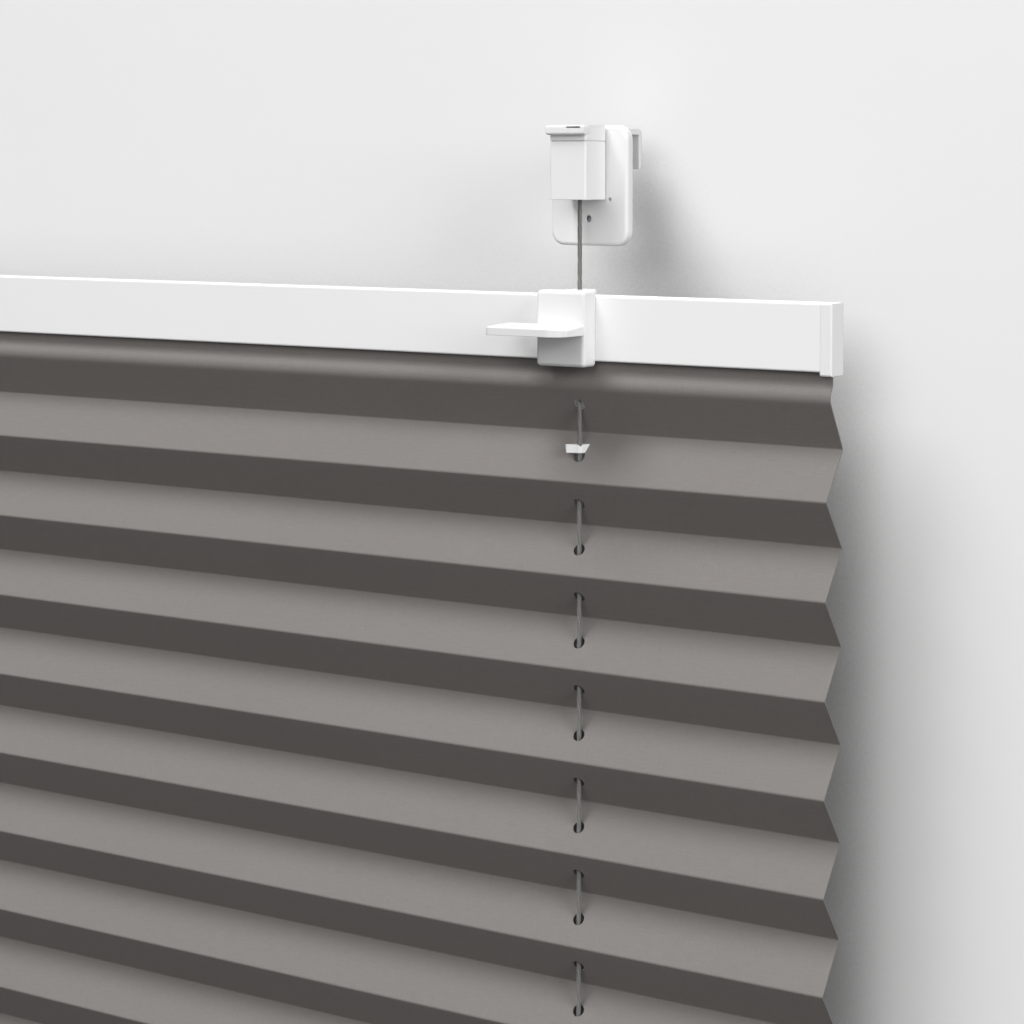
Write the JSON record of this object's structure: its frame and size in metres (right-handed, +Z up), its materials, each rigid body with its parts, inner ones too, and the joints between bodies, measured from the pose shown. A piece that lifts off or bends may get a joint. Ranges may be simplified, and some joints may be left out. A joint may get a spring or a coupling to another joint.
{
  "type": "pleated blind",
  "caption": "Pleated fabric blind on tension cords, with sliding top and bottom rails, tab handles and clamps that hook over the edges of a window sash.",
  "frame": {"origin": "middle of the blind on the plane of the sash face that the clamps grip, half way across and half way up", "axes": "+X along the rails, +Y through the sash away from the viewer, +Z up"},
  "size_m": [0.7616, 0.0535, 0.5392],
  "materials": {
    "pleat_fabric": "matt warm grey pleating fabric",
    "cord": "braided grey cord",
    "white_rail": "satin white powder coat",
    "white_plastic": "satin moulded white",
    "inner_plastic": "plain moulded",
    "pad_rubber": "ribbed black rubber",
    "screw_steel": "zinc-plated"
  },
  "bodies": {
    "frame": {"pleated_fabric": "pleat_fabric", "cord_left": "cord", "cord_right": "cord", "clamp_top_left": "white_plastic", "clamp_top_right": "white_plastic", "clamp_bottom_left": "white_plastic", "clamp_bottom_right": "white_plastic", "shoe_top_left": "white_plastic", "shoe_top_right": "white_plastic", "shoe_bottom_left": "white_plastic", "shoe_bottom_right": "white_plastic", "shoe_cap_top_left": "white_plastic", "shoe_cap_top_right": "white_plastic", "shoe_cap_bottom_left": "white_plastic", "shoe_cap_bottom_right": "white_plastic"},
    "cord_clips": {"cord_clip_left": "white_plastic", "cord_clip_right": "white_plastic"},
    "upper_rail": {"top_rail": "white_rail", "top_cap_left": "white_plastic", "top_cap_right": "white_plastic", "top_handle_left": "white_plastic", "top_handle_right": "white_plastic", "top_guide_left": "inner_plastic", "top_guide_right": "inner_plastic", "top_strip": "inner_plastic"},
    "lower_rail": {"bottom_rail": "white_rail", "bottom_cap_left": "white_plastic", "bottom_cap_right": "white_plastic", "bottom_handle_left": "white_plastic", "bottom_handle_right": "white_plastic", "bottom_guide_left": "inner_plastic", "bottom_guide_right": "inner_plastic", "bottom_strip": "inner_plastic"},
    "pad_top_left_body": {"pad_top_left": "pad_rubber"},
    "pad_top_right_body": {"pad_top_right": "pad_rubber"},
    "pad_bottom_left_body": {"pad_bottom_left": "pad_rubber"},
    "pad_bottom_right_body": {"pad_bottom_right": "pad_rubber"},
    "screw_top_left_body": {"screw_top_left": "screw_steel"},
    "screw_top_right_body": {"screw_top_right": "screw_steel"},
    "screw_bottom_left_body": {"screw_bottom_left": "screw_steel"},
    "screw_bottom_right_body": {"screw_bottom_right": "screw_steel"}
  },
  "joints": [
    {"name": "upper_rail_slide", "type": "slide", "parent": "frame", "child": "upper_rail", "axis": [0, 0, -1], "range_m": [0, 0.164], "deforming": ["pleated_fabric"]},
    {"name": "lower_rail_slide", "type": "slide", "parent": "frame", "child": "lower_rail", "axis": [0, 0, 1], "range_m": [0, 0.164], "deforming": ["pleated_fabric"]},
    {"name": "cord_clips_slide", "type": "slide", "parent": "frame", "child": "cord_clips", "axis": [0, 0, -1], "range_m": [0, 0.138]},
    {"name": "pad_top_left_slide", "type": "slide", "parent": "frame", "child": "pad_top_left_body", "axis": [0, 1, 0], "range_m": [-0.0003, 0.0012]},
    {"name": "screw_top_left_turn", "type": "hinge", "parent": "pad_top_left_body", "child": "screw_top_left_body", "pos_m": [-0.2815, -0.0014, 0.2373], "axis": [0, 1, 0], "range_deg": [-156, 619]},
    {"name": "pad_top_right_slide", "type": "slide", "parent": "frame", "child": "pad_top_right_body", "axis": [0, 1, 0], "range_m": [-0.0003, 0.0012]},
    {"name": "screw_top_right_turn", "type": "hinge", "parent": "pad_top_right_body", "child": "screw_top_right_body", "pos_m": [0.2815, -0.0014, 0.2373], "axis": [0, 1, 0], "range_deg": [-156, 619]},
    {"name": "pad_bottom_left_slide", "type": "slide", "parent": "frame", "child": "pad_bottom_left_body", "axis": [0, 1, 0], "range_m": [-0.0003, 0.0012]},
    {"name": "screw_bottom_left_turn", "type": "hinge", "parent": "pad_bottom_left_body", "child": "screw_bottom_left_body", "pos_m": [-0.2815, -0.0014, -0.2373], "axis": [0, 1, 0], "range_deg": [-156, 619]},
    {"name": "pad_bottom_right_slide", "type": "slide", "parent": "frame", "child": "pad_bottom_right_body", "axis": [0, 1, 0], "range_m": [-0.0003, 0.0012]},
    {"name": "screw_bottom_right_turn", "type": "hinge", "parent": "pad_bottom_right_body", "child": "screw_bottom_right_body", "pos_m": [0.2815, -0.0014, -0.2373], "axis": [0, 1, 0], "range_deg": [-156, 619]}
  ],
  "couplings": [
    {"joint": "cord_clips_slide", "follows": "upper_rail_slide", "ratio": 0.836},
    {"joint": "screw_top_left_turn", "follows": "pad_top_left_slide", "rad_per_m": 8976},
    {"joint": "screw_top_right_turn", "follows": "pad_top_right_slide", "rad_per_m": 8976},
    {"joint": "screw_bottom_left_turn", "follows": "pad_bottom_left_slide", "rad_per_m": 8976},
    {"joint": "screw_bottom_right_turn", "follows": "pad_bottom_right_slide", "rad_per_m": 8976}
  ]
}
